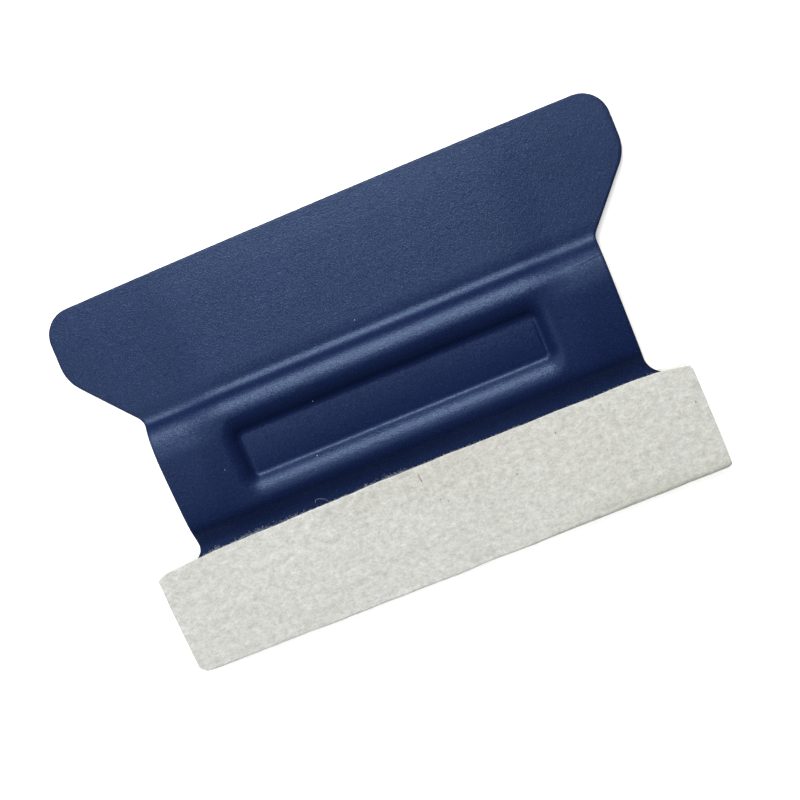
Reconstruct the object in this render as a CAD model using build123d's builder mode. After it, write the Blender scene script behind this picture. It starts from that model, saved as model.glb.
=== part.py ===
"""Felt-edged hand wiper: one blue moulding with a wing, a gripping hump and a flange, and a felt
strip glued round the flange's edge.

Millimetres. X runs along the wiping edge, +Y points to the wing's edge and +Z is up. The origin is
the middle of the footprint, at the level that the tool rests on: the felt's underside and the
wing's tip.
"""

import os
from math import asin, atan2, cos, hypot, radians, sin, tan

from build123d import *

# Overall size
WING_WIDTH = 150.0
LENGTH = 100.0
FELT_WIDTH = 144.6
FLANGE_WIDTH = 141.0
NECK_WIDTH = 121.3

# Stock thicknesses
SHEET = 2.0
FELT = 2.5
FILM = 0.15

# Wing outline, seen from above
EDGE_CROWN = 0.5
TIP_CORNER_R = 7.0
HEEL_CORNER_R = 10.0
HEEL_Y = 32.7
NECK_TOP_Y = 16.2
NECK_TOP_R = 4.0
NECK_FOOT_R = 5.5
SHOULDER_Y = -22.0
FLANGE_CORNER_R = 1.5

# Wing edge, thinned on its upper side
TIP_THICKNESS = 1.7
TIP_TAPER_LENGTH = 8.0

# Hump section: heights above the flange's upper face
CREST_Y = 10.4
CREST_HEIGHT = 4.0
CREST_R = 6.15
WING_ROOT_Y = 18.3
WING_ROOT_R = 5.5
WING_WALL_ANGLE = 43.0
PLATEAU_ANGLE = 4.2
BROW_R = 9.0
SLOPE_ANGLE = 33.0
SLOPE_FOOT_Y = -20.0
SLOPE_FOOT_R = 8.0

# Finger recess, pressed into the hump's plateau
RECESS_LENGTH = 78.0
RECESS_TOP_Y = 3.5
RECESS_BOTTOM_Y = -7.1
RECESS_DEPTH = 2.6
RECESS_DRAFT = 42.0
RECESS_CORNER_R = 0.8
RECESS_FLOOR_R = 1.3
RECESS_RIM_R = 4.2
BULGE_FLOOR_R = RECESS_FLOOR_R + SHEET
BULGE_ROOT_R = 1.5

# Felt strip, glued on a little to the left of the middle and pressed square along its fold
FELT_CENTRE_X = -1.3
FELT_FOLD_R = 0.8
FELT_TOP_Y = -20.5
FELT_SHOULDER_X = 60.0
FELT_SHOULDER_DROP = 2.0
FELT_CORNER_R = 1.0

# The film stops a little short of the felt's edge
FILM_TOP_Y = -21.5

# How near a coordinate has to be for an edge or a corner to be picked by it
NEAR = 0.01

# Levels that follow from the stock
FLANGE_BOTTOM_Z = FELT + FILM
FLANGE_TOP_Z = FLANGE_BOTTOM_Z + SHEET
FELT_TOP_Z = FLANGE_TOP_Z + FILM + FELT
FOLD_Y = -LENGTH / 2
FLANGE_END_Y = FOLD_Y + FELT + FILM
CREST_Z = FLANGE_TOP_Z + CREST_HEIGHT


def crossing(point_a, slope_a, point_b, slope_b):
    """Where two sloped lines of the section meet."""
    y = (point_b[1] - point_a[1] + slope_a * point_a[0] - slope_b * point_b[0]) / (slope_a - slope_b)
    return (y, point_a[1] + slope_a * (y - point_a[0]))


def section_corners():
    """The corners of the sheet's upper face, from the flange's end to the wing's tip."""
    crest_turn = radians(WING_WALL_ANGLE)
    plateau_turn = radians(PLATEAU_ANGLE)
    wall_point = (
        CREST_Y + CREST_R * sin(crest_turn),
        CREST_Z - CREST_R * (1 - cos(crest_turn)),
    )
    plateau_point = (
        CREST_Y - CREST_R * sin(plateau_turn),
        CREST_Z - CREST_R * (1 - cos(plateau_turn)),
    )
    slope_corner = (
        SLOPE_FOOT_Y + SLOPE_FOOT_R * tan(radians(SLOPE_ANGLE) / 2),
        FLANGE_TOP_Z,
    )
    brow_corner = crossing(
        slope_corner, tan(radians(SLOPE_ANGLE)), plateau_point, tan(plateau_turn)
    )
    crest_corner = crossing(plateau_point, tan(plateau_turn), wall_point, -tan(crest_turn))
    root_y = WING_ROOT_Y - WING_ROOT_R * tan(crest_turn / 2)
    root_corner = (root_y, wall_point[1] - (root_y - wall_point[0]) * tan(crest_turn))
    # the wing runs down until the underside of its edge is at the resting level
    reach = LENGTH / 2 - root_y
    wing_angle = atan2(root_corner[1], reach) - asin(SHEET / hypot(reach, root_corner[1]))
    overrun = reach + SHEET
    tip = (root_y + overrun, root_corner[1] - overrun * tan(wing_angle))
    return [
        (FLANGE_END_Y + SHEET / 2, FLANGE_TOP_Z),
        slope_corner,
        brow_corner,
        crest_corner,
        root_corner,
        tip,
    ]


CORNERS = section_corners()
CORNER_RADII = [SLOPE_FOOT_R, BROW_R, CREST_R, WING_ROOT_R]
CREST_CORNER, ROOT_CORNER, TIP_CORNER = CORNERS[-3:]


def wing_z(y):
    """The height of the wing's upper face before its edge is thinned."""
    slope = (TIP_CORNER[1] - ROOT_CORNER[1]) / (TIP_CORNER[0] - ROOT_CORNER[0])
    return ROOT_CORNER[1] + (y - ROOT_CORNER[0]) * slope


# The recess is laid out on the plateau's own plane, centred between its two long walls
RECESS_Y = (RECESS_TOP_Y + RECESS_BOTTOM_Y) / 2
RECESS_WIDTH = RECESS_TOP_Y - RECESS_BOTTOM_Y
PLATEAU_Z = CREST_CORNER[1] - (CREST_CORNER[0] - RECESS_Y) * tan(radians(PLATEAU_ANGLE))
plateau = Plane(
    origin=(0, RECESS_Y, PLATEAU_Z),
    x_dir=(1, 0, 0),
    z_dir=(0, -sin(radians(PLATEAU_ANGLE)), cos(radians(PLATEAU_ANGLE))),
)
BULGE_GROWTH = SHEET * tan(radians(90 - RECESS_DRAFT) / 2)


def blade_outline():
    """The moulding's edge, seen from above, with its right half drawn and mirrored."""
    half_wing = WING_WIDTH / 2
    half_neck = NECK_WIDTH / 2
    half_flange = FLANGE_WIDTH / 2
    tip_y = LENGTH / 2
    with BuildSketch() as outline:
        with BuildLine():
            edge = ThreePointArc(
                (-half_wing, tip_y - EDGE_CROWN), (0, tip_y), (half_wing, tip_y - EDGE_CROWN)
            )
            Polyline(
                edge @ 1,
                (half_wing, HEEL_Y),
                (half_neck, NECK_TOP_Y),
                (half_neck, SHOULDER_Y),
                (half_flange, SHOULDER_Y),
                (half_flange, FLANGE_END_Y),
                (-half_flange, FLANGE_END_Y),
                (-half_flange, SHOULDER_Y),
                (-half_neck, SHOULDER_Y),
                (-half_neck, NECK_TOP_Y),
                (-half_wing, HEEL_Y),
                edge @ 0,
            )
        make_face()
        rounds = [
            (tip_y - EDGE_CROWN, TIP_CORNER_R),
            (HEEL_Y, HEEL_CORNER_R),
            (NECK_TOP_Y, NECK_TOP_R),
            (FLANGE_END_Y, FLANGE_CORNER_R),
        ]
        for corner_y, radius in rounds:
            fillet([v for v in outline.vertices() if abs(v.Y - corner_y) < NEAR], radius)
        neck_feet = [
            v
            for v in outline.vertices()
            if abs(v.Y - SHOULDER_Y) < NEAR and abs(abs(v.X) - half_neck) < NEAR
        ]
        fillet(neck_feet, NECK_FOOT_R)
    return outline.sketch


def strip_outline(width, centre_x, top_y, end_y, corner_r):
    """A glued strip seen from above: straight over the neck, falling away over the flange's ends."""
    half = width / 2
    with BuildSketch(Plane(origin=(centre_x, 0, 0))) as outline:
        with BuildLine():
            Polyline(
                (-half, end_y),
                (-half, top_y - FELT_SHOULDER_DROP),
                (-FELT_SHOULDER_X, top_y),
                (FELT_SHOULDER_X, top_y),
                (half, top_y - FELT_SHOULDER_DROP),
                (half, end_y),
                close=True,
            )
        make_face()
        fillet([v for v in outline.vertices() if abs(abs(v.X) - half) < NEAR], corner_r)
    return outline.sketch


def tongue(half_height, top_y, nose_r):
    """A section from top_y to the flange's end, as high each way from the flange's middle as told.

    Its nose is a half circle, or square with its corners rounded to nose_r.
    """
    mid_z = FLANGE_BOTTOM_Z + SHEET / 2
    nose_y = FLANGE_END_Y + SHEET / 2
    with BuildSketch(Plane.YZ) as section:
        with Locations((nose_y, mid_z)):
            Rectangle(top_y - nose_y, 2 * half_height, align=(Align.MIN, Align.CENTER))
            if nose_r < half_height:
                Rectangle(half_height, 2 * half_height, align=(Align.MAX, Align.CENTER))
                fillet(section.vertices().group_by(Axis.X)[0], nose_r)
            else:
                Circle(half_height)
    return section.sketch


def folded_strip(inner_half, thickness, nose_r, width, centre_x, top_y, corner_r):
    """A strip of one thickness folded in a U round the flange's end, cut to its outline."""
    outer_half = inner_half + thickness
    reach = WING_WIDTH / 2
    with BuildPart() as strip:
        extrude(tongue(outer_half, top_y, nose_r), amount=reach, both=True)
        extrude(tongue(inner_half, top_y, inner_half), amount=reach, both=True, mode=Mode.SUBTRACT)
        extrude(
            strip_outline(width, centre_x, top_y, FOLD_Y, corner_r),
            amount=FELT_TOP_Z,
            mode=Mode.INTERSECT,
        )
    return strip.part


def lies_at(edge, depth):
    """Whether an edge lies all along at this depth below the plateau."""
    along = [plateau.to_local_coords(edge @ share).Z for share in (0, 0.5, 1)]
    return all(abs(level + depth) < NEAR for level in along)


def loop_at(edges, depth):
    """Of these edges, the closed loop round the recess that lies this deep below the plateau."""
    return [edge for edge in edges if lies_at(edge, depth)]


# Blue moulding
with BuildPart() as blade_moulding:
    with BuildSketch(Plane.YZ):
        with BuildLine():
            upper_face = FilletPolyline(*CORNERS, radius=CORNER_RADII)
            offset(upper_face, amount=SHEET, side=Side.RIGHT, closed=True)
        make_face()
        with Locations((FLANGE_END_Y + SHEET / 2, FLANGE_TOP_Z - SHEET / 2)):
            Circle(SHEET / 2)
        # the wing's edge thins on its upper side
        taper_y = LENGTH / 2 - TIP_TAPER_LENGTH
        with BuildLine():
            Polyline(
                (taper_y, wing_z(taper_y)),
                (LENGTH / 2, wing_z(LENGTH / 2) - SHEET + TIP_THICKNESS),
                (LENGTH / 2 + 2 * SHEET, wing_z(LENGTH / 2) - SHEET + TIP_THICKNESS),
                (LENGTH / 2 + 2 * SHEET, wing_z(taper_y)),
                close=True,
            )
        make_face(mode=Mode.SUBTRACT)
    extrude(amount=WING_WIDTH / 2, both=True)

    # the recess's wall bulges below the sheet
    with BuildSketch(plateau.offset(-RECESS_DEPTH - SHEET)):
        RectangleRounded(
            RECESS_LENGTH + 2 * BULGE_GROWTH,
            RECESS_WIDTH + 2 * BULGE_GROWTH,
            RECESS_CORNER_R + BULGE_GROWTH,
        )
    extrude(amount=RECESS_DEPTH + SHEET / 2, taper=-RECESS_DRAFT)
    fillet(loop_at(blade_moulding.edges(Select.LAST), SHEET), BULGE_ROOT_R)
    fillet(loop_at(blade_moulding.edges(), RECESS_DEPTH + SHEET), BULGE_FLOOR_R)

    # the recess itself is taken out of the sheet and the bulge
    with BuildSketch(plateau.offset(-RECESS_DEPTH)):
        RectangleRounded(RECESS_LENGTH, RECESS_WIDTH, RECESS_CORNER_R)
    extrude(amount=RECESS_DEPTH + SHEET, taper=-RECESS_DRAFT, mode=Mode.SUBTRACT)
    cut_edges = blade_moulding.edges(Select.LAST)
    fillet(loop_at(cut_edges, 0), RECESS_RIM_R)
    fillet(loop_at(blade_moulding.edges(), RECESS_DEPTH), RECESS_FLOOR_R)

    add(blade_outline())
    extrude(amount=CREST_Z + SHEET, mode=Mode.INTERSECT)

# Felt and its film, both folded round the flange's end
film_half = SHEET / 2 + FILM
felt_strip = folded_strip(
    film_half, FELT, FELT_FOLD_R, FELT_WIDTH, FELT_CENTRE_X, FELT_TOP_Y, FELT_CORNER_R
)
adhesive_film = folded_strip(
    SHEET / 2, FILM, film_half, FLANGE_WIDTH, 0, FILM_TOP_Y, FELT_CORNER_R
)

os.makedirs("parts", exist_ok=True)
pieces = {
    "blade_moulding": blade_moulding.part,
    "felt_strip": felt_strip,
    "adhesive_film": adhesive_film,
}
for name, piece in pieces.items():
    piece.label = name
    export_step(piece, f"parts/{name}.step")
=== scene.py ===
"""Looks of the felt-edged hand wiper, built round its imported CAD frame.

The frame is the part's own: X along the wiping edge, +Y to the wing's edge, +Z up. Blender works in
metres; the shapes below are worked out in millimetres and scaled by MM when a mesh is made.
"""

import math

import bpy
import numpy as np
from mathutils import Matrix, Vector


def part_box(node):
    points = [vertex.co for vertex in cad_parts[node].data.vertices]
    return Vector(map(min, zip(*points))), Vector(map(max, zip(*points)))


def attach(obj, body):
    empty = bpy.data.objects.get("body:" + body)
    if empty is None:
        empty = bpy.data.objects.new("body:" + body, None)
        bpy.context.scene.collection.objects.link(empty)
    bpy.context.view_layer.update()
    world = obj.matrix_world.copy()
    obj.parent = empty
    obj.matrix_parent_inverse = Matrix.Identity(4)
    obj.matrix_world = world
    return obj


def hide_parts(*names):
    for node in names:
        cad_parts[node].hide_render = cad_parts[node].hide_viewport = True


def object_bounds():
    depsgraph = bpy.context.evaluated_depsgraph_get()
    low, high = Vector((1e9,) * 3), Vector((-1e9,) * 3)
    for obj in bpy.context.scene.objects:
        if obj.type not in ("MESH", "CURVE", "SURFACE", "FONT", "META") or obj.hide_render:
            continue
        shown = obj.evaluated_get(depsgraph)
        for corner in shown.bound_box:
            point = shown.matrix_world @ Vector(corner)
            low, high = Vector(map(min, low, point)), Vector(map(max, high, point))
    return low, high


MM = 0.001
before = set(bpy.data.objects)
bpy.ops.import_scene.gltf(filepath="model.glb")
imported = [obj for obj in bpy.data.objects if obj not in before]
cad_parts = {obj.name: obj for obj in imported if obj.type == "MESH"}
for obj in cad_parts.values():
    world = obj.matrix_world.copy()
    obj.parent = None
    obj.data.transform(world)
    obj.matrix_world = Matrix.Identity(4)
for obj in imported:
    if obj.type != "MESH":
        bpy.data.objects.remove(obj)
cad_low, cad_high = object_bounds()

# ---------------------------------------------------------------- sizes read from the frame
blade_low, blade_high = (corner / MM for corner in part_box("blade_moulding"))
felt_low, felt_high = (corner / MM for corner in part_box("felt_strip"))
film_low, film_high = (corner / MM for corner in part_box("adhesive_film"))

# The film is as wide as the flange and folded round it, so its box gives the flange's place too
HALF_WING = blade_high.x
HALF_FLANGE = film_high.x
WING_EDGE_Y = blade_high.y
FLANGE_END_Y = blade_low.y
SHEET = 2.0
FILM = ((film_high.z - film_low.z) - SHEET) / 2
FLANGE_MID_Z = (film_high.z + film_low.z) / 2
UPPER_Z = FLANGE_MID_Z + SHEET / 2


# ---------------------------------------------------------------- camera, light and floor
CAMERA_AIM = Vector((1.18, -3.14, 5.0)) * MM
CAMERA_DISTANCE = 395.4 * MM
CAMERA_ELEVATION = math.radians(79.88)
CAMERA_BEARING = math.radians(36.96)
CAMERA_ROLL = math.radians(22.95)
CAMERA_LENS = 71.58
SENSOR = 36.0

# Two soft lamps aimed at the object, both this far off, in metres, degrees and watts
LAMP_DISTANCE = 0.9
KEY = {
    "zenith": 36.1,
    "bearing": -7.7,
    "shape": "DISK",
    "size": (0.507, 0.507),
    "watts": 5.35,
    "colour": (1.0, 0.95, 0.84),
}
FILL = {
    "zenith": 33.0,
    "bearing": -31.3,
    "shape": "RECTANGLE",
    "size": (2.01, 1.458),
    "watts": 10.8,
    "colour": (1.0, 1.0, 1.0),
}
FLOOR_LIGHT = 2.2
FLOOR_LIGHT_SPREAD = math.radians(40)
FLOOR_SIZE = 30.0
FLOOR_GAP = 0.02 * MM
PALE = 0.93
ROOM_GLOW = 0.006


def towards(zenith, bearing):
    """The direction at an angle from straight up, on a bearing from +Y towards +X."""
    return Vector(
        (
            math.sin(zenith) * math.sin(bearing),
            math.sin(zenith) * math.cos(bearing),
            math.cos(zenith),
        )
    )


def add_camera():
    """A camera nearly overhead, turned and rolled as the photograph's was."""
    back = towards(math.pi / 2 - CAMERA_ELEVATION, CAMERA_BEARING)
    level_up = (Vector((0, 1, 0)) - back * back.y).normalized()
    level_right = level_up.cross(back)
    up = level_up * math.cos(CAMERA_ROLL) + level_right * math.sin(CAMERA_ROLL)
    right = up.cross(back)
    data = bpy.data.cameras.new("camera")
    data.sensor_width = SENSOR
    data.lens = CAMERA_LENS
    data.clip_start = 0.01
    camera = bpy.data.objects.new("camera", data)
    bpy.context.collection.objects.link(camera)
    turn = Matrix((right, up, back)).transposed().to_4x4()
    camera.matrix_world = Matrix.Translation(CAMERA_AIM + back * CAMERA_DISTANCE) @ turn
    bpy.context.scene.camera = camera


def add_softbox(name, zenith, bearing, shape, size, watts, colour):
    """An area lamp that faces the origin and isn't seen itself."""
    data = bpy.data.lights.new(name, "AREA")
    data.shape = shape
    data.size, data.size_y = size
    data.energy = watts
    data.color = colour
    lamp = bpy.data.objects.new(name, data)
    way = towards(math.radians(zenith), math.radians(bearing))
    lamp.location = way * LAMP_DISTANCE
    lamp.rotation_euler = way.to_track_quat("Z", "Y").to_euler()
    lamp.visible_camera = False
    bpy.context.collection.objects.link(lamp)


def add_floor_light(floor):
    """An even light from above that falls on the white floor alone."""
    data = bpy.data.lights.new("floor_light", "SUN")
    data.energy = FLOOR_LIGHT
    data.angle = FLOOR_LIGHT_SPREAD
    lamp = bpy.data.objects.new("floor_light", data)
    bpy.context.collection.objects.link(lamp)
    only = bpy.data.collections.new("lit_by_floor_light")
    only.objects.link(floor)
    lamp.light_linking.receiver_collection = only


def add_world():
    """White to the camera, nearly dark to everything else."""
    world = bpy.data.worlds.new("studio")
    world.use_nodes = True
    nodes, links = world.node_tree.nodes, world.node_tree.links
    dim = nodes["Background"]
    dim.inputs["Color"].default_value = (1, 1, 1, 1)
    dim.inputs["Strength"].default_value = ROOM_GLOW
    pale = nodes.new("ShaderNodeBackground")
    pale.inputs["Color"].default_value = (PALE, PALE, PALE, 1)
    seen = nodes.new("ShaderNodeLightPath")
    mix = nodes.new("ShaderNodeMixShader")
    links.new(seen.outputs["Is Camera Ray"], mix.inputs[0])
    links.new(dim.outputs[0], mix.inputs[1])
    links.new(pale.outputs[0], mix.inputs[2])
    links.new(mix.outputs[0], nodes["World Output"].inputs["Surface"])
    bpy.context.scene.world = world


def add_floor():
    """A wide matt floor just under the object, which doesn't show in the plastic's gloss."""
    bpy.ops.mesh.primitive_plane_add(size=FLOOR_SIZE, location=(0, 0, cad_low.z - FLOOR_GAP))
    floor = bpy.context.object
    floor.name = "floor"
    material = bpy.data.materials.new("floor_white")
    material.use_nodes = True
    shader = material.node_tree.nodes["Principled BSDF"]
    shader.inputs["Base Color"].default_value = (PALE, PALE, PALE, 1)
    shader.inputs["Roughness"].default_value = 0.9
    shader.inputs["Specular IOR Level"].default_value = 0.0
    floor.data.materials.append(material)
    floor.visible_glossy = False
    return floor


# ---------------------------------------------------------------- node helpers
class Nodes:
    """Short calls for building one material, whose coordinates are the part's own, in metres."""

    def __init__(self, name):
        self.material = bpy.data.materials.new(name)
        self.material.use_nodes = True
        self.nodes = self.material.node_tree.nodes
        self.links = self.material.node_tree.links
        self.shader = self.nodes["Principled BSDF"]
        self.coords = self.nodes.new("ShaderNodeTexCoord").outputs["Object"]

    def plug(self, socket, value):
        """Give a socket a link, a colour or a number."""
        if isinstance(value, bpy.types.NodeSocket):
            self.links.new(value, socket)
        elif isinstance(value, tuple):
            socket.default_value = (*value, 1)
        else:
            socket.default_value = value

    def set(self, name, value):
        self.plug(self.shader.inputs[name], value)

    def stretched(self, scale, angle=0.0):
        """The object's coordinates turned about Z and scaled, for marks that run one way."""
        node = self.nodes.new("ShaderNodeMapping")
        node.inputs["Rotation"].default_value = (0, 0, math.radians(angle))
        node.inputs["Scale"].default_value = scale
        self.links.new(self.coords, node.inputs["Vector"])
        return node.outputs["Vector"]

    def noise(self, scale, detail=2.0, roughness=0.5, distortion=0.0, coords=None):
        node = self.nodes.new("ShaderNodeTexNoise")
        node.inputs["Scale"].default_value = scale
        node.inputs["Detail"].default_value = detail
        node.inputs["Roughness"].default_value = roughness
        node.inputs["Distortion"].default_value = distortion
        self.links.new(coords or self.coords, node.inputs["Vector"])
        return node.outputs["Fac"]

    def between(self, coordinate, low, high, to_low=0.0, to_high=1.0):
        """A coordinate's stretch from low to high, in millimetres, mapped smoothly as by span."""
        return self.span(coordinate, low * MM, high * MM, to_low, to_high)

    def span(self, value, low, high, to_low=0.0, to_high=1.0):
        """A value's range low..high mapped smoothly to to_low..to_high, and held beyond it."""
        node = self.nodes.new("ShaderNodeMapRange")
        node.interpolation_type = "SMOOTHSTEP"
        self.links.new(value, node.inputs["Value"])
        node.inputs["From Min"].default_value = low
        node.inputs["From Max"].default_value = high
        node.inputs["To Min"].default_value = to_low
        node.inputs["To Max"].default_value = to_high
        return node.outputs["Result"]

    def straight(self, value, low, high, to_low, to_high):
        """A value's range low..high mapped in a straight line to to_low..to_high."""
        result = self.span(value, low, high, to_low, to_high)
        result.node.interpolation_type = "LINEAR"
        result.node.clamp = False
        return result

    def maths(self, operation, first, second=0.0):
        """One sum on one or two values."""
        node = self.nodes.new("ShaderNodeMath")
        node.operation = operation
        self.plug(node.inputs[0], first)
        self.plug(node.inputs[1], second)
        return node.outputs[0]

    def mix(self, factor, first, second, mode="MIX"):
        """Two colours blended by a factor."""
        node = self.nodes.new("ShaderNodeMix")
        node.data_type = "RGBA"
        node.blend_type = mode
        # these are the factor, the two colours and the resulting colour
        for socket, value in ((0, factor), (6, first), (7, second)):
            self.plug(node.inputs[socket], value)
        return node.outputs[2]

    def bump(self, height, distance, normal=None):
        """A normal roughened by a height that spans a distance in millimetres."""
        node = self.nodes.new("ShaderNodeBump")
        node.inputs["Distance"].default_value = distance * MM
        self.links.new(height, node.inputs["Height"])
        if normal is not None:
            self.links.new(normal, node.inputs["Normal"])
        return node.outputs["Normal"]

    def place(self):
        """The x, y and z of the shaded point."""
        node = self.nodes.new("ShaderNodeSeparateXYZ")
        self.links.new(self.coords, node.inputs[0])
        return node.outputs


# ---------------------------------------------------------------- materials
# Beside the felt the plastic is darkened by painted shade: over this stretch of y, its colour and its
# sheen fade
PAINTED_SHADE_COLOUR_Y, PAINTED_SHADE_COLOUR = (-12.5, -15.5), 0.78
PAINTED_SHADE_SHEEN_Y, PAINTED_SHADE_SHEEN = (-12.5, -16.0), 0.54
# A line of painted shade along a fine crease in the right end of the hump, and how much of the sheen it
# takes away
CREASE_X, CREASE_Y = (53.0, 60.7), (11.2, 11.7)
CREASE_WIDTH = (0.1, 0.4)
CREASE_FADE_X = (51.0, 55.0)
CREASE_SHADE_AMOUNT = 0.6


def plastic_material():
    """Navy polypropylene: satin, bluish sheen, a fine mould grain, faint clouds of wear, and painted
    shade beside the felt and along a crease.
    """
    n = Nodes("navy_polypropylene")
    x, y, _ = n.place()
    clouds = n.noise(70, 3, 0.6)
    grain = n.noise(3400, 1, 0.8)
    ripple = n.noise(800, 2, 0.7)

    tone = n.mix(n.span(clouds, 0.3, 0.7), (0.0076, 0.0165, 0.067), (0.0088, 0.0184, 0.0745))
    # painted shade: the colour darkens beside the felt, where the slope meets the felt's edge
    tone = n.mix(1.0, tone, n.between(y, *PAINTED_SHADE_COLOUR_Y, 1.0, PAINTED_SHADE_COLOUR), "MULTIPLY")
    n.set("Base Color", n.mix(1.0, tone, n.straight(grain, 0, 1, 0.4, 1.6), "MULTIPLY"))

    # painted shade: the sheen is taken away along a thin line where the crease runs
    crease_y = n.straight(x, CREASE_X[0] * MM, CREASE_X[1] * MM, CREASE_Y[0] * MM, CREASE_Y[1] * MM)
    off_crease = n.maths("ABSOLUTE", n.maths("SUBTRACT", y, crease_y))
    in_crease = n.between(off_crease, CREASE_WIDTH[1], CREASE_WIDTH[0])
    crease = n.maths("MULTIPLY", in_crease, n.between(x, *CREASE_FADE_X, 0.0, CREASE_SHADE_AMOUNT))
    # painted shade: the sheen fades beside the felt
    painted_shade = n.between(y, *PAINTED_SHADE_SHEEN_Y, 1.0, PAINTED_SHADE_SHEEN)
    kept = n.maths("MULTIPLY", painted_shade, n.maths("SUBTRACT", 1.0, crease))
    n.set("Specular IOR Level", n.maths("MULTIPLY", n.straight(grain, 0, 1, -0.12, 1.08), kept))
    n.set("Roughness", n.straight(grain, 0.2, 0.8, 0.232, 0.288))
    n.set("Specular Tint", (0.433, 0.628, 1.0))
    n.set("IOR", 1.49)
    n.set("Normal", n.bump(grain, 0.06, n.bump(ripple, 0.05)))
    return n.material


# Where the felt is darker, as stretches of x and y over which the darkening comes in: painted shade
# along the right half of the fold, and a stain on the middle of the upper leg
FOLD_SHADE_X, FOLD_SHADE_Y = (5.0, 55.0), (-44.0, -49.5)
TOP_STAIN_X, TOP_STAIN_Y = (34.0, 12.0), (-34.0, -23.0)
RIGHT_TONE_X = (-30.0, 30.0)


def felt_material():
    """Off-white needled felt: every size of mottle, a little elongated along the strip."""
    n = Nodes("pale_needled_felt")
    x, y, _ = n.place()
    mottle = n.noise(560, 3, 1.0, coords=n.stretched((0.8, 1.0, 1.0)))
    streaks = n.noise(560, 3, 0.9, 0.6, coords=n.stretched((0.35, 1.0, 1.0), 12))
    patches = n.noise(34, 2, 0.5)

    base = n.mix(n.between(x, *RIGHT_TONE_X), (0.683, 0.705, 0.706), (0.692, 0.714, 0.706))
    base = n.mix(n.span(patches, 0.25, 0.75), base, (0.965, 0.962, 0.955), "MULTIPLY")
    # painted shade: darker along the fold's right half, where the fold turns away from the light
    fold_shade = n.maths("MULTIPLY", n.between(x, *FOLD_SHADE_X), n.between(y, *FOLD_SHADE_Y))
    base = n.mix(fold_shade, base, (0.88, 0.88, 0.84), "MULTIPLY")
    off_middle = n.maths("ABSOLUTE", x)
    top_stain = n.maths("MULTIPLY", n.between(y, *TOP_STAIN_Y), n.between(off_middle, *TOP_STAIN_X))
    base = n.mix(top_stain, base, (0.955, 0.95, 0.94), "MULTIPLY")
    warmth = n.straight(mottle, 0.35, 0.65, 0.0, 1.0)
    base = n.mix(1.0, base, n.mix(warmth, (1.0, 0.998, 0.985), (1.0, 1.002, 1.012)), "MULTIPLY")
    shade = n.maths("ADD", n.straight(mottle, 0, 1, 0.49, 1.51), n.straight(streaks, 0, 1, -0.16, 0.16))
    n.set("Base Color", n.mix(1.0, base, shade, "MULTIPLY"))

    n.set("Roughness", 1.0)
    n.set("Specular IOR Level", 0.1)
    n.set("Sheen Weight", 0.06)
    n.set("Sheen Roughness", 0.5)
    n.set("Normal", n.bump(mottle, 0.10, n.bump(streaks, 0.08)))
    return n.material


def fibre_material(name, dark, pale):
    """Single fibres, in two shades."""
    n = Nodes(name)
    n.set("Base Color", n.mix(n.noise(260, 1), dark, pale))
    n.set("Roughness", 0.85)
    n.set("Specular IOR Level", 0.2)
    n.set("Sheen Weight", 0.1)
    return n.material


def film_material():
    """The yellowish glue film, which shows at most in the slots at the strip's ends."""
    n = Nodes("acrylic_film")
    n.set("Base Color", n.mix(n.noise(500, 2), (0.62, 0.6, 0.52), (0.72, 0.7, 0.62)))
    n.set("Roughness", 0.35)
    return n.material


def straw_material():
    """Dry straw and crumbs."""
    n = Nodes("caught_straw")
    n.set("Base Color", n.mix(n.noise(1500, 2), (0.40, 0.33, 0.22), (0.55, 0.47, 0.34)))
    n.set("Roughness", 0.6)
    return n.material


def dust_material():
    """Dark specks of dirt."""
    n = Nodes("dark_dust")
    n.set("Base Color", n.mix(n.noise(3000, 2), (0.16, 0.14, 0.12), (0.27, 0.24, 0.20)))
    n.set("Roughness", 0.9)
    return n.material


# ---------------------------------------------------------------- shape helpers
def smooth(value):
    """A share from 0 to 1, eased at both ends and held beyond them."""
    value = np.clip(value, 0, 1)
    return value * value * (3 - 2 * value)


def round_corners(corners, radii, steps=20):
    """A line through the corners with each inner one rounded to its radius."""
    points = [np.array(corners[0], float)]
    for before, here, after, radius in zip(corners, corners[1:], corners[2:], radii):
        here = np.array(here, float)
        back = np.array(before, float) - here
        ahead = np.array(after, float) - here
        back, ahead = back / np.linalg.norm(back), ahead / np.linalg.norm(ahead)
        half = math.acos(np.clip(back @ ahead, -1, 1)) / 2
        middle = here + (back + ahead) / np.linalg.norm(back + ahead) * radius / math.sin(half)
        reach = radius / math.tan(half)
        start, end = here + back * reach - middle, here + ahead * reach - middle
        turn = math.atan2(start[0] * end[1] - start[1] * end[0], start @ end)
        for step in range(steps + 1):
            angle = turn * step / steps
            spin = np.array([[math.cos(angle), -math.sin(angle)], [math.sin(angle), math.cos(angle)]])
            points.append(middle + spin @ start)
    points.append(np.array(corners[-1], float))
    return np.array(points)


def loop_normals(points):
    """The outward normals of closed loops that run anticlockwise, over the last axis but one."""
    along = np.roll(points, -1, axis=-2) - np.roll(points, 1, axis=-2)
    along = along / (np.linalg.norm(along, axis=-1, keepdims=True) + 1e-12)
    return np.stack([along[..., 1], -along[..., 0]], axis=-1)


def lumps(x, y, cell, seed):
    """Smooth random unevenness from -1 to 1 over a plane, with bumps about one cell wide."""
    grid = np.random.default_rng(seed).uniform(-1, 1, (64, 64))
    across, up = x / cell, y / cell
    i, j = np.floor(across).astype(int), np.floor(up).astype(int)
    u, v = smooth(across - i), smooth(up - j)
    a, b = grid[i % 64, j % 64], grid[(i + 1) % 64, j % 64]
    c, d = grid[i % 64, (j + 1) % 64], grid[(i + 1) % 64, (j + 1) % 64]
    return (a * (1 - u) + b * u) * (1 - v) + (c * (1 - u) + d * u) * v


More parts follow.
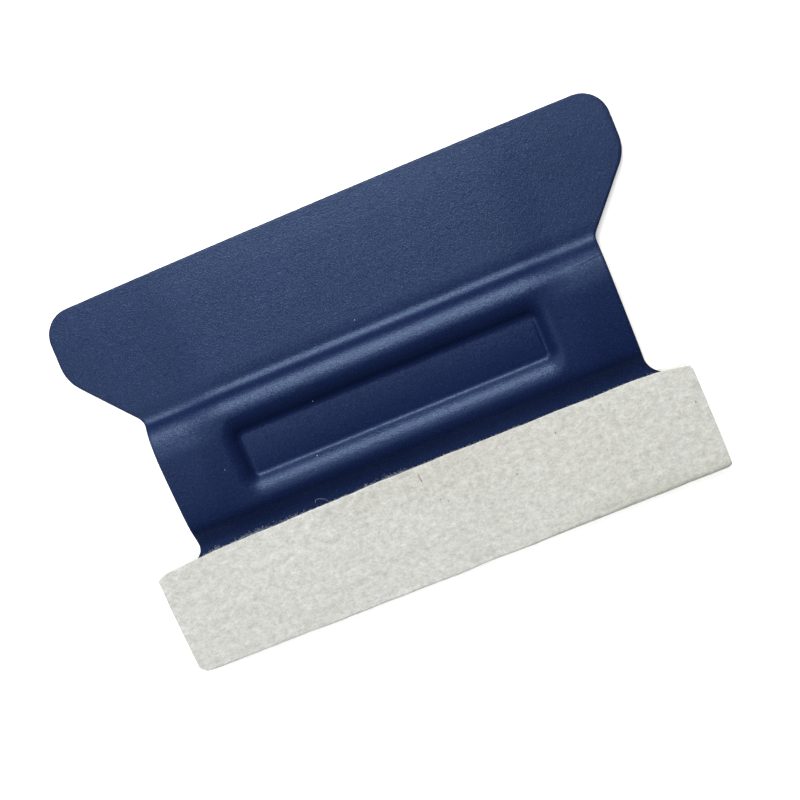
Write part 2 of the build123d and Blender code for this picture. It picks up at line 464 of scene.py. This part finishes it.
def ring_faces(upper, lower):
    """Quads between two closed loops of the same length."""
    size = len(upper)
    return [
        (int(upper[k]), int(lower[k]), int(lower[(k + 1) % size]), int(upper[(k + 1) % size]))
        for k in range(size)
    ]


def mesh_object(name, verts, faces, material):
    """A smooth-shaded mesh from points in millimetres."""
    mesh = bpy.data.meshes.new(name)
    mesh.from_pydata((np.asarray(verts) * MM).tolist(), [], faces)
    mesh.materials.append(material)
    mesh.shade_smooth()
    mesh.update()
    piece = bpy.data.objects.new(name, mesh)
    bpy.context.collection.objects.link(piece)
    return piece


# ---------------------------------------------------------------- the blue moulding
# How steeply the sheet's upper face falls towards +Y, as (y, degrees), with straight lines between
# the points: across the middle of the hump, and at its two ends, which are domed and not alike.
# Beyond the last point the wing runs straight to its edge.
MID_FALL = [
    (-20, 0), (-19, -9), (-18, -15), (-17, -21), (-16, -30), (-15.4, -30), (-14.5, -23),
    (-13.5, -15), (-12.5, -8), (-11.8, -5), (-10.5, -4.2), (9.2, -4.3), (10, 1), (10.5, 8.5),
    (11, 13), (11.5, 16), (12, 19), (12.5, 23), (13, 27), (13.5, 33), (14, 41), (14.4, 48),
    (15, 48), (15.5, 33), (16, 24), (16.5, 18.5), (17, 11), (17.4, 2), (17.9, -2),
    (18.5, -0.5), (19.5, 2.5), (21, 6.1),
]
LEFT_FALL = [
    (-20, 0), (-19, -9), (-18, -16), (-17, -24), (-16, -32), (-15.3, -32), (-14, -20),
    (-13, -14), (-12, -10.5), (-10, -8), (-8, -6), (-4, -4.6), (0, -3.2), (4, -2), (5, -0.5),
    (6, 3), (6.5, 6.5), (7.5, 9), (9, 10.5), (10, 14), (11, 17.5), (11.6, 21.5), (12.2, 27),
    (13, 34.5), (13.6, 39), (14.2, 46), (14.8, 44), (15.3, 28), (15.8, 20), (16.3, 14),
    (16.8, 8), (17.2, 2), (18, 1), (19.5, 2.5), (21, 5.9),
]
# Up to this y the right end falls as a blend of the other two, with this share of the left end's.
# From there on it has points of its own.
RIGHT_BLEND_Y, SHARE_OF_LEFT = -4, 0.75
RIGHT_OWN_FALL = [
    (0, -3.2), (4, -2.0), (5, -0.6), (6, 1.8), (6.5, 3.8), (7.5, 5.9), (9, 7.5), (10, 10),
    (10.5, 11.5), (11.1, 12.5), (11.5, 22), (11.8, 28), (12.5, 31), (13, 33), (13.5, 36.5),
    (14, 41), (14.5, 43), (15, 38), (15.5, 28), (16, 20), (16.5, 14), (17, 8), (17.5, 2.5),
    (18, 1), (19, 2), (21, 6),
]
# The middle section turns into the end section over this stretch of x, on either side
BLEND_X = (40.0, 52.0)

RECESS_HALF_LENGTH = 39.0
RECESS_Y = (-6.65, 3.65)
RECESS_DEPTH = 2.6
RECESS_CORNER = 0.8
FLOOR_CROWN = 0.25
# (width, foot radius) of the recess's wall towards the wing, of the one towards the felt, and of
# its two end walls
WALL_TOP, WALL_BOTTOM, WALL_END = (6.2, 2.4), (6.15, 1.5), (5.0, 1.8)

TAPER_LENGTH = 8.0
TIP_THICKNESS = 1.9
EDGE_CROWN = 0.5
EDGE_CROWN_Y = (40.0, 49.0)
EDGE_ROUND = 0.35
THINNEST = 1.0

# The outline, seen from above
NECK_HALF = 60.65
NECK_TOP_Y = 16.2
HEEL_Y = 32.7
SHOULDER_Y = -22.0
SHOULDER_FALL = 0.3
TOP_CORNER_R = 7.0
HEEL_R = 10.0
FLANGE_CORNER_R = 1.5
# (radius at the neck's top, radius at its foot)
NECK_RADII_RIGHT, NECK_RADII_LEFT = (3.2, 6.0), (5.0, 4.0)

# The grid's columns, and its rows, which are evenly close over the hump
COLUMNS = 256
WING_ROWS_END_Y = 19.0
HUMP_ROWS_Y, ROW_STEP = (18.6, -20.6), 0.36
# The columns stand closer together round this share of the half width, by the recess's end walls
DENSE_SHARE, DENSE_SPREAD, DENSE_GAIN = 0.68, 0.07, 1.4


def section_line(falls):
    """The upper face's height along y, from how steeply it falls, as an array of (y, z).

    It runs level before the first point and straight beyond the last, where the height at the
    wing's edge is the one at which the sheet's underside touches the floor.
    """
    first, last = falls[0][0], falls[-1][0]
    y = np.linspace(first, last, 1025)
    slope = np.tan(np.radians(np.interp(y, *np.array(falls).T)))
    drop = np.cumsum((slope[1:] + slope[:-1]) / 2 * np.diff(y))
    z = UPPER_Z - np.concatenate([[0], drop])
    run = WING_EDGE_Y - last
    tip_z = SHEET * math.hypot(1, z[-1] / run)
    before = [(2 * FLANGE_END_Y, UPPER_Z)]
    after = [(WING_EDGE_Y, tip_z), (WING_EDGE_Y + run, 2 * tip_z - z[-1])]
    return np.concatenate([before, np.column_stack([y, z]), after])


def right_falls():
    """How steeply the right end falls: the blend of the other two, then its own points."""
    mid_y, mid_fall = np.array(MID_FALL).T
    blend = [
        (y, SHARE_OF_LEFT * fall + (1 - SHARE_OF_LEFT) * np.interp(y, mid_y, mid_fall))
        for y, fall in LEFT_FALL
        if y <= RIGHT_BLEND_Y
    ]
    return blend + RIGHT_OWN_FALL


MID_LINE = section_line(MID_FALL)
LEFT_LINE = section_line(LEFT_FALL)
RIGHT_LINE = section_line(right_falls())


def wall_rise(distance, width, foot_r):
    """How far up the recess's wall a point is, 0 at the floor and 1 at the rim: two tangent arcs."""
    angle = 2 * np.arctan2(RECESS_DEPTH, width)
    rim_r = width / np.sin(angle) - foot_r
    turn = foot_r * np.sin(angle)
    d = np.clip(distance, 0, width)
    low = foot_r - np.sqrt(np.maximum(foot_r**2 - np.minimum(d, turn) ** 2, 0))
    far = np.minimum(width - d, width - turn)
    high = RECESS_DEPTH - (rim_r - np.sqrt(np.maximum(rim_r**2 - far**2, 0)))
    return np.where(d < turn, low, high) / RECESS_DEPTH


def recess_depth(x, y):
    """How far the recess takes the surface down."""
    mid_y, half_y = sum(RECESS_Y) / 2, (RECESS_Y[1] - RECESS_Y[0]) / 2
    out_x = np.abs(x) - (RECESS_HALF_LENGTH - RECESS_CORNER)
    out_y = np.abs(y - mid_y) - (half_y - RECESS_CORNER)
    beyond_x, beyond_y = np.maximum(out_x, 0), np.maximum(out_y, 0)
    distance = np.hypot(beyond_x, beyond_y) - RECESS_CORNER
    share = np.where(beyond_x + beyond_y > 0, beyond_y**2 / (beyond_x**2 + beyond_y**2 + 1e-9), 0)
    long_wall = np.where(y > mid_y, WALL_TOP[0], WALL_BOTTOM[0])
    long_foot = np.where(y > mid_y, WALL_TOP[1], WALL_BOTTOM[1])
    width = WALL_END[0] + (long_wall - WALL_END[0]) * share
    foot = WALL_END[1] + (long_foot - WALL_END[1]) * share
    depth = RECESS_DEPTH * (1 - wall_rise(distance, width, foot))
    crown = FLOOR_CROWN * np.maximum(1 - ((y - mid_y) / half_y) ** 2, 0)
    return depth - crown * (distance <= 0)


def sheet_height(x, y):
    """The upper face before the wing's edge is thinned."""
    mid = np.interp(y, MID_LINE[:, 0], MID_LINE[:, 1])
    left = np.interp(y, LEFT_LINE[:, 0], LEFT_LINE[:, 1])
    right = np.interp(y, RIGHT_LINE[:, 0], RIGHT_LINE[:, 1])
    end = np.where(x < 0, left, right)
    share = smooth((np.abs(x) - BLEND_X[0]) / (BLEND_X[1] - BLEND_X[0]))
    return mid + (end - mid) * share - recess_depth(x, y)


def taper(y):
    """How much the wing's edge is thinned from above."""
    along = np.clip((y - (WING_EDGE_Y - TAPER_LENGTH)) / TAPER_LENGTH, 0, 1)
    return (SHEET - TIP_THICKNESS) * along


def under_height(x, y):
    """The lower face: one sheet thickness below the upper face, measured square to it.

    For each point it searches for the place on the upper face that stands square above it.
    """
    step, rounds, damping = 0.05, 30, 0.7
    at_x, at_y = x.copy(), y.copy()
    for _ in range(rounds):
        slope_x = (sheet_height(at_x + step, at_y) - sheet_height(at_x - step, at_y)) / (2 * step)
        slope_y = (sheet_height(at_x, at_y + step) - sheet_height(at_x, at_y - step)) / (2 * step)
        size = np.sqrt(1 + slope_x**2 + slope_y**2)
        at_x += damping * (x - slope_x / size * SHEET - at_x)
        at_y += damping * (y - slope_y / size * SHEET - at_y)
    return sheet_height(at_x, at_y) - SHEET / size


def side_line(neck_r, foot_r):
    """One side of the outline, EDGE_ROUND inside it, from the wing's edge to the flange's end."""
    tip_y = WING_EDGE_Y - EDGE_CROWN
    corners = [
        (0, tip_y),
        (HALF_WING, tip_y),
        (HALF_WING, HEEL_Y),
        (NECK_HALF, NECK_TOP_Y),
        (NECK_HALF, SHOULDER_Y),
        (HALF_FLANGE, SHOULDER_Y - SHOULDER_FALL),
        (HALF_FLANGE, FLANGE_END_Y),
        (0, FLANGE_END_Y),
    ]
    radii = [TOP_CORNER_R, HEEL_R, neck_r, foot_r, FLANGE_CORNER_R, FLANGE_CORNER_R]
    line = round_corners(corners, radii)
    along = np.gradient(line, axis=0)
    along /= np.linalg.norm(along, axis=1)[:, None] + 1e-12
    return line + np.column_stack([along[:, 1], -along[:, 0]]) * EDGE_ROUND


def row_heights():
    """The y of each row of the grid, from the wing's edge down, closer where the shape turns."""
    tip_y = WING_EDGE_Y - EDGE_CROWN - EDGE_ROUND
    end_y = FLANGE_END_Y + EDGE_ROUND
    corner = tip_y - TOP_CORNER_R * (1 - np.cos(np.linspace(0, np.pi / 2, 14)))
    wing = np.linspace(corner[-1], WING_ROWS_END_Y, 40)[1:]
    hump = np.arange(*HUMP_ROWS_Y, -ROW_STEP)
    shoulder = SHOULDER_Y + np.array([1.0, 0.6, 0.3, 0.1, -0.1, -0.3, -0.5, -0.7])
    flange = np.linspace(SHOULDER_Y - 1.2, end_y + FLANGE_CORNER_R, 18)
    end = end_y + FLANGE_CORNER_R * (1 - np.sin(np.linspace(0, np.pi / 2, 7))[1:])
    return np.concatenate([corner, wing, hump, shoulder, flange, end])


def column_shares():
    """Where the columns stand across a row, from -1 to 1, closer at the recess's end walls."""
    at = np.linspace(-1, 1, 2001)
    density = 1 + DENSE_GAIN * np.exp(-(((np.abs(at) - DENSE_SHARE) / DENSE_SPREAD) ** 2))
    total = np.concatenate([[0], np.cumsum((density[1:] + density[:-1]) / 2)])
    return np.interp(np.linspace(0, total[-1], COLUMNS), total, at)


def moulding_mesh():
    """The whole moulding as one closed mesh: upper face, rounded edge and lower face."""
    rows, shares = row_heights(), column_shares()
    right_line, left_line = side_line(*NECK_RADII_RIGHT), side_line(*NECK_RADII_LEFT)
    right = np.interp(-rows, -right_line[:, 1], right_line[:, 0])
    left = -np.interp(-rows, -left_line[:, 1], left_line[:, 0])
    n_rows, n_cols = len(rows), len(shares)
    x = left[:, None] + (right - left)[:, None] * (shares + 1) / 2
    crowned = smooth((rows - EDGE_CROWN_Y[0]) / (EDGE_CROWN_Y[1] - EDGE_CROWN_Y[0]))
    crown = EDGE_CROWN * (1 - (x / HALF_WING) ** 2) * crowned[:, None]
    y = rows[:, None] + crown
    x, y = x.ravel(), y.ravel()
    top_z = sheet_height(x, y) - taper(y)
    low_z = np.minimum(under_height(x, y), top_z - THINNEST)
    count = n_rows * n_cols
    verts = [np.column_stack([x, y, top_z]), np.column_stack([x, y, low_z])]
    faces = []
    for i in range(n_rows - 1):
        for j in range(n_cols - 1):
            a = i * n_cols + j
            faces.append((a, a + n_cols, a + n_cols + 1, a + 1))
            faces.append((count + a, count + a + 1, count + a + n_cols + 1, count + a + n_cols))

    # the border runs anticlockwise: up the right side, back along the wing's edge and so on
    last = n_cols - 1
    border = (
        [i * n_cols + last for i in range(n_rows - 1, -1, -1)]
        + [j for j in range(last - 1, -1, -1)]
        + [i * n_cols for i in range(1, n_rows)]
        + [(n_rows - 1) * n_cols + j for j in range(1, last)]
    )
    border = np.array(border)
    inner = np.column_stack([x[border], y[border]])
    normal = loop_normals(inner)
    previous, start = border, 2 * count
    turns = np.radians([30, 60, 90])
    rings = [(turn, 1) for turn in turns] + [(turn, -1) for turn in turns[::-1]]
    for turn, side in rings:
        level = top_z[border] if side > 0 else low_z[border]
        ring_z = level - side * EDGE_ROUND * (1 - math.cos(turn))
        verts.append(np.column_stack([inner + normal * EDGE_ROUND * math.sin(turn), ring_z]))
        current = np.arange(start, start + len(border))
        faces += ring_faces(previous, current)
        previous, start = current, start + len(border)
    faces += ring_faces(previous, border + count)
    return np.concatenate(verts), faces


def make_moulding():
    """The blue moulding, in place of its CAD body."""
    verts, faces = moulding_mesh()
    piece = mesh_object("moulding", verts, faces, plastic_material())
    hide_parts("blade_moulding")
    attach(piece, "root")
    return piece


# ---------------------------------------------------------------- the felt strip
# The strip laid flat, in metres: its width, and its length along the middle of its thickness
FELT_TOP_Z = felt_high.z
INNER_HALF = SHEET / 2 + FILM
INNER_NOSE_Y = FLANGE_END_Y + SHEET / 2
UPPER_INNER_Z = FLANGE_MID_Z + INNER_HALF
LOWER_INNER_Z = FLANGE_MID_Z - INNER_HALF
FELT_FOLD_Y = felt_low.y + 0.5
LOWER_FOLD_R = 0.9
FOLD_R_LEFT, FOLD_R_RIGHT = 0.5, 1.2
# The cut edges are barely rounded and lean back under the outer faces
CUT_R = 0.2
CUT_LEAN = 0.6
INNER_CUT_R = 0.1
END_ROUND = 0.2

# The cut edge above the hump, as (x, y): it bows a little and falls away over the flange's ends
TOP_EDGE = [
    (felt_low.x, -22.7),
    (-72.5, -22.1),
    (-70.5, -21.5),
    (-66.0, -21.1),
    (-57.0, -20.55),
    (-45.0, -20.4),
    (-30.0, -20.2),
    (-12.0, -19.95),
    (12.0, -19.8),
    (30.0, -20.0),
    (57.0, -20.1),
    (62.0, -20.3),
    (66.0, -20.85),
    (70.0, -21.5),
    (felt_high.x, -22.4),
]
# The two cut ends, as (y, x)
LEFT_END = [(-50.0, -73.1), (-40.0, -73.4), (-30.0, -73.6), (-20.0, -73.6)]
RIGHT_END = [(-50.0, 71.3), (-36.0, 71.1), (-24.0, 70.8), (-20.0, 70.7)]
# The fold's left end is clipped off slantwise, and its right end is a round nub
CLIPPED_CORNER, CLIP_SLOPE = 1.4, 0.9
NUB_R = 1.3
# The fold grows rounder towards the right, over this stretch of x
FOLD_ROUNDS_X = (5.0, 50.0)
FELT_STATIONS = 320


def top_edge(x):
    """The y of the upper leg's cut edge, a little ragged."""
    return np.interp(x, *np.array(TOP_EDGE).T) + 0.07 * lumps(x, 0 * x, 3.5, 5)


def felt_relief(x, travel):
    """How far the outer face stands out at x, travel millimetres from the upper cut edge."""
    relief = 0.07 * lumps(x, travel, 6.0, 11) + 0.035 * lumps(x * 0.8, travel, 2.1, 12)
    return np.minimum(relief + 0.02 * lumps(x, travel, 0.9, 13) - 0.06, 0.04)


def felt_surface(x, y):
    """The height of the upper face."""
    travel = CUT_R * math.pi / 2 + top_edge(x) - CUT_R - y
    return FELT_TOP_Z + felt_relief(x, travel)


def fold_place(x):
    """Where the fold is: clipped at its left end, rounded at its right end and wavering between."""
    y = FELT_FOLD_Y + 0.09 * lumps(x, 0 * x, 9.0, 3)
    from_left = x - LEFT_END[0][1]
    y = y + np.maximum(CLIPPED_CORNER - from_left, 0) * CLIP_SLOPE
    into_nub = np.clip(x - (RIGHT_END[0][1] - NUB_R), 0, NUB_R)
    return y + NUB_R - np.sqrt(NUB_R**2 - into_nub**2 + 1e-9)


def arc_points(centre_y, centre_z, radius, start, end, count):
    """An arc for every station, as (stations, count, 2), with its centre and radius as arrays."""
    angles = np.radians(np.linspace(start, end, count))[None, :]
    y = centre_y[:, None] + radius[:, None] * np.cos(angles)
    z = centre_z[:, None] + radius[:, None] * np.sin(angles)
    return np.stack([y, z], axis=-1)


def line_points(y_from, y_to, z_from, z_to, count):
    """Points between two ends, both left out, as (stations, count, 2)."""
    share = (np.arange(1, count + 1) / (count + 1))[None, :]
    y = y_from[:, None] + (y_to - y_from)[:, None] * share
    z = z_from[:, None] + (z_to - z_from)[:, None] * share
    return np.stack([y, z], axis=-1)


def felt_sections(x):
    """The strip's closed (y, z) section at each x, and which of its points are on the outside.

    It starts at the upper cut edge, runs over the upper leg, round the fold and back underneath,
    then returns along the inner faces, so it goes anticlockwise seen from +X.
    """
    flat = np.ones_like(x)
    top_y = top_edge(x)
    low_y = top_y - 0.4 + 0.1 * lumps(x, 0 * x, 11.0, 6)
    fold_y = fold_place(x)
    rounder = smooth((x - FOLD_ROUNDS_X[0]) / (FOLD_ROUNDS_X[1] - FOLD_ROUNDS_X[0]))
    fold_r = FOLD_R_LEFT + (FOLD_R_RIGHT - FOLD_R_LEFT) * rounder
    top, cut, inner_cut = FELT_TOP_Z * flat, CUT_R * flat, INNER_CUT_R * flat
    low_r = LOWER_FOLD_R * flat
    mid_z = FLANGE_MID_Z * flat
    nose_y = INNER_NOSE_Y * flat
    low_in, top_in = low_y - CUT_LEAN - inner_cut, top_y - CUT_LEAN - inner_cut
    parts = [
        (arc_points(top_y - cut, top - cut, cut, 0, 90, 5), True),
        (line_points(top_y - cut, fold_y + fold_r, top, top, 66), True),
        (arc_points(fold_y + fold_r, top - fold_r, fold_r, 90, 180, 7), True),
        (line_points(fold_y, fold_y, top - fold_r, low_r, 8), True),
        (arc_points(fold_y + low_r, low_r, low_r, 180, 270, 6), True),
        (line_points(fold_y + low_r, low_y - cut, 0 * flat, 0 * flat, 46), True),
        (arc_points(low_y - cut, cut, cut, 270, 360, 5), True),
        (arc_points(low_in, LOWER_INNER_Z - inner_cut, inner_cut, 0, 90, 3), False),
        (line_points(low_in, nose_y, LOWER_INNER_Z * flat, LOWER_INNER_Z * flat, 14), False),
        (arc_points(nose_y, mid_z, INNER_HALF * flat, 270, 90, 9), False),
        (line_points(nose_y, top_in, UPPER_INNER_Z * flat, UPPER_INNER_Z * flat, 14), False),
        (arc_points(top_in, UPPER_INNER_Z + inner_cut, inner_cut, 270, 360, 3), False),
    ]
    outside = np.concatenate([np.full(points.shape[1], is_out) for points, is_out in parts])
    return np.concatenate([points for points, _ in parts], axis=1), outside


def felt_mesh():
    """The folded strip as one closed mesh with an uneven outer face and rounded cut ends."""
    turns = np.radians([0, 30, 60, 90])
    inset = END_ROUND * (1 - np.sin(turns))
    step_in = END_ROUND * (1 - np.cos(turns))
    left_x, right_x = LEFT_END[1][1], RIGHT_END[1][1]
    between = np.linspace(left_x + END_ROUND, right_x - END_ROUND, FELT_STATIONS + 2)[1:-1]
    stations = np.concatenate([left_x + step_in, between, right_x - step_in[::-1]])
    insets = np.concatenate([inset, np.zeros(len(between)), inset[::-1]])
    loops, outside = felt_sections(stations)
    normals = loop_normals(loops)
    lengths = np.linalg.norm(np.diff(loops, axis=1, prepend=loops[:, :1]), axis=-1)
    travel = np.cumsum(lengths, axis=1)
    wide = np.repeat(stations[:, None], loops.shape[1], axis=1)
    relief = felt_relief(wide, travel) * outside
    loops = loops + normals * (relief - insets[:, None])[..., None]
    y, z = loops[..., 0], np.maximum(loops[..., 1], 0.0)
    left, right = np.interp(y, *np.array(LEFT_END).T), np.interp(y, *np.array(RIGHT_END).T)
    x = left + (wide - left_x) / (right_x - left_x) * (right - left)
    verts = np.stack([x, y, z], axis=-1).reshape(-1, 3)
    size = loops.shape[1]
    faces = []
    for i in range(len(stations) - 1):
        here = np.arange(i * size, (i + 1) * size)
        faces += ring_faces(here, here + size)
    faces.append(tuple(range(size)))
    last = (len(stations) - 1) * size
    faces.append(tuple(range(last + size - 1, last - 1, -1)))
    return verts, faces


# ---------------------------------------------------------------- loose fibres and dirt
def tube(path, radius, sides=3):
    """One closed fibre along a path, pointed at both ends: its points and its faces."""
    path = np.asarray(path, float)
    along = np.gradient(path, axis=0)
    along /= np.linalg.norm(along, axis=1)[:, None] + 1e-12
    across = np.cross(along, (0.13, 0.31, 0.94))
    across /= np.linalg.norm(across, axis=1)[:, None] + 1e-12
    square = np.cross(along, across)
    verts, faces = [path[0]], []
    for k in range(1, len(path) - 1):
        for side in range(sides):
            angle = 2 * math.pi * side / sides
            verts.append(path[k] + radius * (across[k] * math.cos(angle) + square[k] * math.sin(angle)))
    verts.append(path[-1])
    end = len(verts) - 1
    for side in range(sides):
        after = (side + 1) % sides
        faces.append((0, 1 + after, 1 + side))
        for k in range(len(path) - 3):
            a, b = 1 + k * sides, 1 + (k + 1) * sides
            faces.append((a + side, a + after, b + after, b + side))
        tail = end - sides
        faces.append((tail + side, tail + after, end))
    return np.array(verts), faces


def gather(tubes):
    """Several tubes as one list of points and faces."""
    verts, faces, start = [], [], 0
    for points, quads in tubes:
        verts.append(points)
        faces += [tuple(index + start for index in quad) for quad in quads]
        start += len(points)
    return np.concatenate(verts), faces


def wisp(rng, root, heading, length, lift, steps=6):
    """A fibre that leaves root along heading, wandering and rising or sinking by lift."""
    angle, at = math.atan2(heading[1], heading[0]), np.array(root, float)
    path, bend = [at.copy()], rng.normal(0, 0.35)
    for _ in range(steps):
        angle += bend + rng.normal(0, 0.22)
        at = at + length / steps * np.array([math.cos(angle), math.sin(angle), lift / length])
        path.append(at.copy())
    return np.array(path)


FUZZ_COUNT = 1700
SURFACE_COUNT = 3000
FIBRE_R = 0.010
HAIR_R = 0.022
# Of all the fuzz, the share in tufts, and that share together with the rest along the cut edge
IN_TUFTS, ON_CUT_EDGE = 0.18, 0.8
# Places along the cut edge, as (x, spread, share), where wisps stand out beyond it
TUFTS = [
    (-57, 1.0, 0.08),
    (-48, 2.0, 0.25),
    (-44, 2.0, 0.22),
    (-36, 3.0, 0.15),
    (-15, 1.0, 0.10),
    (-8, 2.0, 0.20),
]
TUFT_SHARES = [share for _, _, share in TUFTS]


def cut_edge_fibre(rng, kind):
    """A fibre out of the upper cut edge, thicker on the ground over its left part."""
    if kind < IN_TUFTS:
        middle, spread, _ = TUFTS[rng.choice(len(TUFTS), p=TUFT_SHARES)]
        x = float(np.clip(rng.normal(middle, spread), -59, 66))
        length = rng.uniform(0.5, 1.5)
    else:
        x = rng.uniform(-60, 10) if rng.uniform() < 0.75 else rng.uniform(10, 62)
        length = rng.uniform(0.2, 0.65)
    y = float(np.interp(x, *np.array(TOP_EDGE).T)) - 0.15
    root = (x, y, rng.uniform(FELT_TOP_Z - 1.1, FELT_TOP_Z - 0.15))
    heading = (rng.normal(0, 1.0), abs(rng.normal(0.9, 0.5)))
    lift = rng.uniform(-0.2, 0.35) * length
    return wisp(rng, root, heading, length, lift)


def outer_fibre(rng):
    """A short fibre out of the fold or out of one of the strip's two ends."""
    length = min(rng.uniform(0.2, 0.6), 0.45)
    place = rng.integers(0, 3)
    z = rng.uniform(0.6, FELT_TOP_Z - 0.5)
    if place == 0:
        root = (rng.uniform(-71, 69), FELT_FOLD_Y + 0.2, z)
        heading = (rng.normal(0, 1), -0.7)
    else:
        y = rng.uniform(-47, -23)
        end, out = (LEFT_END, -1) if place == 1 else (RIGHT_END, 1)
        root = (float(np.interp(y, *np.array(end).T)) - 0.2 * out, y, z)
        heading = (0.7 * out, rng.normal())
    return wisp(rng, root, heading, length, 0.0)


def looping_hair():
    """The path of one long hair that loops out over the blue."""
    turn = np.radians(np.linspace(-10, 190, 14))
    across, out = np.cos(turn), np.sin(turn)
    return np.column_stack([-26.7 + 1.7 * across, -19.75 + 1.3 * out - 0.75 * across, 6.8 + 0.2 * out])


def edge_fuzz():
    """Short fibres along the upper cut edge, round the fold and at the ends, and one long hair."""
    rng = np.random.default_rng(21)
    tubes = []
    for _ in range(FUZZ_COUNT):
        kind = rng.uniform()
        path = cut_edge_fibre(rng, kind) if kind < ON_CUT_EDGE else outer_fibre(rng)
        tubes.append(tube(path, FIBRE_R))
    tubes.append(tube(looping_hair(), HAIR_R))
    return gather(tubes)


def surface_fibres():
    """Fibres half sunk in the felt's upper face, mostly along the strip."""
    rng = np.random.default_rng(22)
    tubes = []
    for _ in range(SURFACE_COUNT):
        x = rng.uniform(felt_low.x + 2.5, felt_high.x - 2.5)
        y = rng.uniform(FELT_FOLD_Y + 2.0, -23.5)
        way = rng.normal(0.25, 0.7)
        length = rng.uniform(0.8, 2.8)
        radius = rng.uniform(0.012, 0.02)
        path = wisp(rng, (x, y, 0), (math.cos(way), math.sin(way)), length, 0.0, 6)
        path[:, 0] = np.clip(path[:, 0], felt_low.x + 1.0, felt_high.x - 1.0)
        path[:, 1] = np.clip(path[:, 1], FELT_FOLD_Y + 1.8, -22.8)
        path[:, 2] = felt_surface(path[:, 0], path[:, 1]) + 0.3 * radius
        tubes.append(tube(path, radius))
    return gather(tubes)


# Pale lint lying on the blue, as (x, y, size)
LINT = [(-1.4, 19.6, 0.13), (-45.8, -2.4, 0.1), (-18.9, 5.0, 0.1), (-23.4, -8.2, 0.12)]
# A bit of straw's path, crumbs in the cut edge as (x, y, z, size), and specks as (x, y, size)
STRAW = [(-1.62, -21.2, 7.32), (-1.75, -22.2, 7.40), (-1.6, -23.3, 7.40), (-1.5, -24.3, 7.30)]
CRUMBS = [(4.5, -20.2, 7.0, 0.28), (15.6, -20.2, 7.0, 0.3), (8.2, -20.3, 7.0, 0.15)]
SPECKS = [
    (33.8, -25.0, 0.17),
    (1.0, -29.8, 0.15),
    (-4.2, -28.1, 0.13),
    (2.7, -31.0, 0.13),
    (21.2, -31.0, 0.16),
    (17.7, -31.2, 0.12),
    (68.4, -30.8, 0.2),
]


def blob(rng, x, y, z, size, squash):
    """A small rough lump round a point: an octahedron split once, roughened and squashed."""
    points = [(1, 0, 0), (-1, 0, 0), (0, 1, 0), (0, -1, 0), (0, 0, 1), (0, 0, -1)]
    corners = [(0, 2, 4), (2, 1, 4), (1, 3, 4), (3, 0, 4), (2, 0, 5), (1, 2, 5), (3, 1, 5), (0, 3, 5)]
    verts, faces, middles = [np.array(p, float) for p in points], [], {}
    for a, b, c in corners:
        mids = []
        for pair in ((a, b), (b, c), (c, a)):
            key = tuple(sorted(pair))
            if key not in middles:
                middle = verts[key[0]] + verts[key[1]]
                verts.append(middle / np.linalg.norm(middle))
                middles[key] = len(verts) - 1
            mids.append(middles[key])
        ab, bc, ca = mids
        faces += [(a, ab, ca), (ab, b, bc), (ca, bc, c), (ab, bc, ca)]
    rough = np.array(verts) * rng.uniform(0.75, 1.2, (len(verts), 1)) * size
    return rough * (1, 1, squash) + np.array((x, y, z)), faces


def make_felt():
    """The felt, the fibres that stand out of it, and the dirt caught in it and beside it."""
    verts, faces = felt_mesh()
    felt = mesh_object("felt", verts, faces, felt_material())
    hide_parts("felt_strip")
    rng = np.random.default_rng(23)
    stray = fibre_material("stray_felt_fibre", (0.62, 0.72, 0.86), (0.80, 0.86, 0.94))
    fibre = fibre_material("felt_fibre", (0.66, 0.67, 0.66), (0.80, 0.80, 0.77))
    straw = [tube(STRAW, 0.13, 5)] + [blob(rng, x, y, z, size, 0.8) for x, y, z, size in CRUMBS]
    specks = [blob(rng, x, y, FELT_TOP_Z - 0.02, size, 0.35) for x, y, size in SPECKS]
    lint = []
    for x, y, size in LINT:
        height = float(sheet_height(np.array([x]), np.array([y]))[0])
        lint.append(blob(rng, x, y, height, size, 0.6))
    extras = [
        mesh_object("edge_fuzz", *edge_fuzz(), stray),
        mesh_object("surface_fibres", *surface_fibres(), fibre),
        mesh_object("caught_straw", *gather(straw), straw_material()),
        mesh_object("dust_specks", *gather(specks), dust_material()),
        mesh_object("pale_lint", *gather(lint), stray),
    ]
    for piece in [felt, *extras]:
        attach(piece, "root")


def finish_film():
    """The CAD's own film, which the felt hides, with a material of its own."""
    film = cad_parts["adhesive_film"]
    film.data.materials.clear()
    film.data.materials.append(film_material())


# ---------------------------------------------------------------- the scene
add_camera()
add_softbox("key", **KEY)
add_softbox("fill", **FILL)
add_world()
add_floor_light(add_floor())
bpy.context.scene.view_settings.view_transform = "Standard"

make_moulding()
make_felt()
finish_film()
